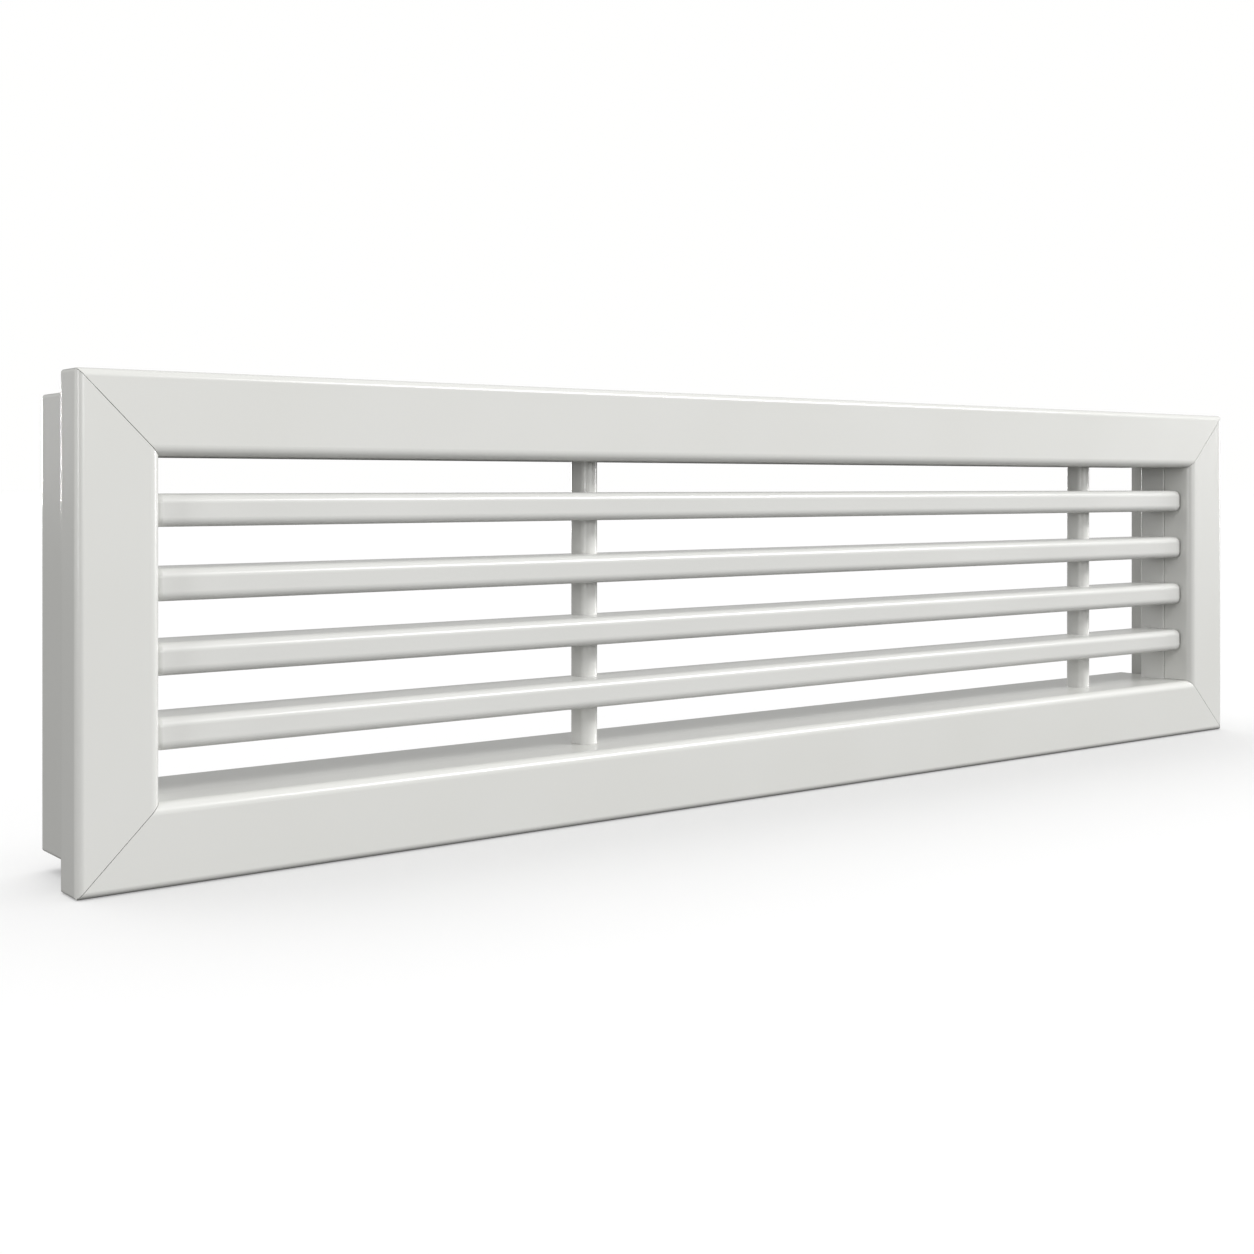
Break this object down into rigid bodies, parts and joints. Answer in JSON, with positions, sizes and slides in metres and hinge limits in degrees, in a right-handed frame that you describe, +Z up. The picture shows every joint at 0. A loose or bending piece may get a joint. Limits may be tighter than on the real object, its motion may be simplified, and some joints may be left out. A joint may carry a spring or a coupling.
{
  "type": "ventilation grille",
  "caption": "Linear bar ventilation grille: a mitred border frame with a wall collar around fixed horizontal rounded bars on round-nosed posts.",
  "frame": {"origin": "centre of the wall plane, where the rear edge of the border's outer lip meets the wall, on the centre lines of the face", "axes": "+X along the bars, to the right for someone who faces the grille; +Y into the wall; +Z up"},
  "size_m": [0.59, 0.049, 0.16],
  "materials": {
    "frame_bottom": "satin off-white powder coat",
    "frame_top": "satin off-white powder coat",
    "frame_left": "satin off-white powder coat",
    "frame_right": "satin off-white powder coat",
    "corner_key_bottom_left": "mill finish",
    "corner_key_bottom_right": "mill finish",
    "corner_key_top_left": "mill finish",
    "corner_key_top_right": "mill finish",
    "bar_1": "satin off-white powder coat",
    "bar_2": "satin off-white powder coat",
    "bar_3": "satin off-white powder coat",
    "bar_4": "satin off-white powder coat",
    "end_plate_left": "satin off-white powder coat",
    "end_plate_right": "satin off-white powder coat",
    "rail_bottom": "satin off-white powder coat",
    "rail_top": "satin off-white powder coat",
    "post_1": "satin off-white powder coat",
    "post_2": "satin off-white powder coat",
    "bar_screw_left_1": "zinc plated",
    "bar_screw_left_2": "zinc plated",
    "bar_screw_left_3": "zinc plated",
    "bar_screw_left_4": "zinc plated",
    "bar_screw_right_1": "zinc plated",
    "bar_screw_right_2": "zinc plated",
    "bar_screw_right_3": "zinc plated",
    "bar_screw_right_4": "zinc plated",
    "rivet_bottom_1": "mill finish",
    "rivet_bottom_2": "mill finish",
    "rivet_bottom_3": "mill finish",
    "rivet_top_1": "mill finish",
    "rivet_top_2": "mill finish",
    "rivet_top_3": "mill finish"
  },
  "bodies": {
    "root": {"frame_bottom": "frame_bottom", "frame_top": "frame_top", "frame_left": "frame_left", "frame_right": "frame_right", "corner_key_bottom_left": "corner_key_bottom_left", "corner_key_bottom_right": "corner_key_bottom_right", "corner_key_top_left": "corner_key_top_left", "corner_key_top_right": "corner_key_top_right", "bar_1": "bar_1", "bar_2": "bar_2", "bar_3": "bar_3", "bar_4": "bar_4", "end_plate_left": "end_plate_left", "end_plate_right": "end_plate_right", "rail_bottom": "rail_bottom", "rail_top": "rail_top", "post_1": "post_1", "post_2": "post_2", "bar_screw_left_1": "bar_screw_left_1", "bar_screw_left_2": "bar_screw_left_2", "bar_screw_left_3": "bar_screw_left_3", "bar_screw_left_4": "bar_screw_left_4", "bar_screw_right_1": "bar_screw_right_1", "bar_screw_right_2": "bar_screw_right_2", "bar_screw_right_3": "bar_screw_right_3", "bar_screw_right_4": "bar_screw_right_4", "rivet_bottom_1": "rivet_bottom_1", "rivet_bottom_2": "rivet_bottom_2", "rivet_bottom_3": "rivet_bottom_3", "rivet_top_1": "rivet_top_1", "rivet_top_2": "rivet_top_2", "rivet_top_3": "rivet_top_3"}
  },
  "joints": []
}
